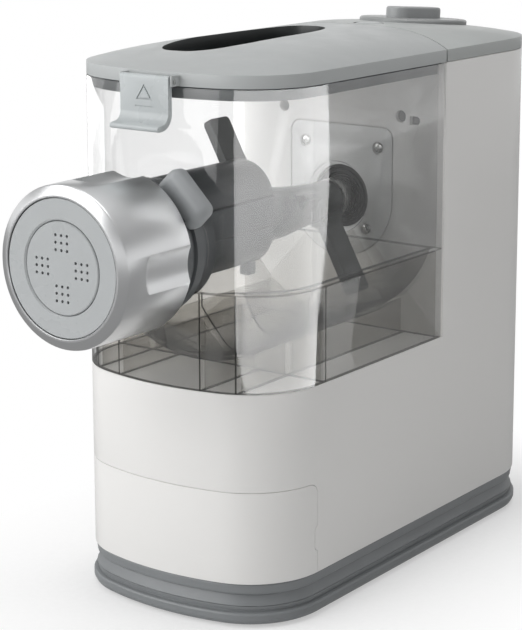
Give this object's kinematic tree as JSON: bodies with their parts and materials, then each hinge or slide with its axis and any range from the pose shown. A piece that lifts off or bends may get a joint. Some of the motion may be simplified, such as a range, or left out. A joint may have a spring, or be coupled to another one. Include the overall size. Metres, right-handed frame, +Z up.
{
  "type": "electric pasta maker",
  "caption": "Upright electric pasta maker with a clear mixing chamber, hinged lid, front extrusion ring with shaping disc, lower drawer and top control knob.",
  "frame": {"origin": "on the surface that the machine stands on, under the middle of its overall length and width", "axes": "+Z up, +Y from the shaping disc to the rear, +X to the right seen from the front"},
  "size_m": [0.137, 0.351, 0.294],
  "materials": {
    "white_plastic": "satin",
    "light_grey_plastic": "satin",
    "mid_grey_plastic": "satin",
    "dark_grey_plastic": "satin",
    "clear_plastic": "polished, transparent",
    "ring_metal": "satin",
    "brushed_steel": "brushed",
    "bronze": "sintered, matt",
    "nylon": "matt",
    "rubber": "matt",
    "circuit_board": "solder mask"
  },
  "bodies": {
    "machine": {"main_housing": "white_plastic", "drive_cover_plate": "white_plastic", "rear_cover": "mid_grey_plastic", "base_plinth": "mid_grey_plastic", "base_plate": "mid_grey_plastic", "drawer_bay": "mid_grey_plastic", "extrusion_tube": "mid_grey_plastic", "cord_inlet": "dark_grey_plastic", "rotary_switch": "dark_grey_plastic", "push_switch": "dark_grey_plastic", "lid_switch": "dark_grey_plastic", "mixing_chamber": "clear_plastic", "plate_screw_1": "brushed_steel", "plate_screw_2": "brushed_steel", "plate_screw_3": "brushed_steel", "plate_screw_4": "brushed_steel", "motor_can": "brushed_steel", "gear_frame_front": "brushed_steel", "gear_frame_rear": "brushed_steel", "board_screw_1": "brushed_steel", "board_screw_2": "brushed_steel", "board_screw_3": "brushed_steel", "board_screw_4": "brushed_steel", "output_bearing_front": "bronze", "output_bearing_rear": "bronze", "idler_bearing_front": "bronze", "idler_bearing_rear": "bronze", "motor_bearing_front": "bronze", "motor_bearing_rear": "bronze", "foot_1": "rubber", "foot_2": "rubber", "foot_3": "rubber", "foot_4": "rubber", "shaft_seal": "rubber", "control_board": "circuit_board", "power_board": "circuit_board"},
    "drawer": {"drawer_front": "white_plastic", "drawer_tray": "light_grey_plastic"},
    "disc": {"shaping_disc": "light_grey_plastic", "die_insert": "light_grey_plastic"},
    "ring": {"fixing_ring": "ring_metal"},
    "mixing_line": {"auger": "dark_grey_plastic", "mixing_paddle": "dark_grey_plastic", "output_shaft": "brushed_steel", "output_gear": "nylon"},
    "idler": {"idler_gear": "nylon", "idler_shaft": "brushed_steel"},
    "rotor": {"motor_shaft": "brushed_steel", "cooling_fan": "dark_grey_plastic"},
    "lid": {"lid_shell": "light_grey_plastic", "pouring_grid": "dark_grey_plastic", "lid_collar": "dark_grey_plastic", "latch_pin": "brushed_steel"},
    "latch": {"lid_latch": "light_grey_plastic"},
    "knob": {"control_knob": "light_grey_plastic"},
    "button": {"start_button": "light_grey_plastic"}
  },
  "joints": [
    {"name": "lid_open", "type": "hinge", "parent": "machine", "child": "lid", "pos_m": [0, 0.0727, 0.2875], "axis": [-1, 0, 0], "range_deg": [0, 70]},
    {"name": "latch_flip", "type": "hinge", "parent": "lid", "child": "latch", "pos_m": [0, -0.1101, 0.2745], "axis": [-1, 0, 0], "range_deg": [0, 25]},
    {"name": "disc_pull", "type": "slide", "parent": "machine", "child": "disc", "axis": [0, -1, 0], "range_m": [0, 0.06]},
    {"name": "ring_twist", "type": "hinge", "parent": "disc", "child": "ring", "pos_m": [0, -0.1755, 0.1925], "axis": [0, 1, 0], "range_deg": [0, 60]},
    {"name": "drawer_slide", "type": "slide", "parent": "machine", "child": "drawer", "axis": [0, -1, 0], "range_m": [0, 0.1]},
    {"name": "output_spin", "type": "hinge", "parent": "machine", "child": "mixing_line", "pos_m": [0, 0.0577, 0.1925], "axis": [0, 1, 0], "continuous": true},
    {"name": "idler_spin", "type": "hinge", "parent": "machine", "child": "idler", "pos_m": [0, 0.0577, 0.1623], "axis": [0, 1, 0], "continuous": true},
    {"name": "motor_spin", "type": "hinge", "parent": "machine", "child": "rotor", "pos_m": [0, 0.0577, 0.1321], "axis": [0, 1, 0], "continuous": true},
    {"name": "knob_turn", "type": "hinge", "parent": "machine", "child": "knob", "pos_m": [0, 0.132, 0.2866], "axis": [0, 0.0698, 0.9976], "range_deg": [-60, 60]},
    {"name": "button_press", "type": "slide", "parent": "machine", "child": "button", "axis": [0, 0, -1], "range_m": [0, 0.0012], "stiffness_N_per_m": 1500, "springref_m": -0.0006}
  ],
  "couplings": [
    {"joint": "idler_spin", "follows": "motor_spin", "ratio": -0.25},
    {"joint": "output_spin", "follows": "motor_spin", "ratio": 0.0625}
  ]
}
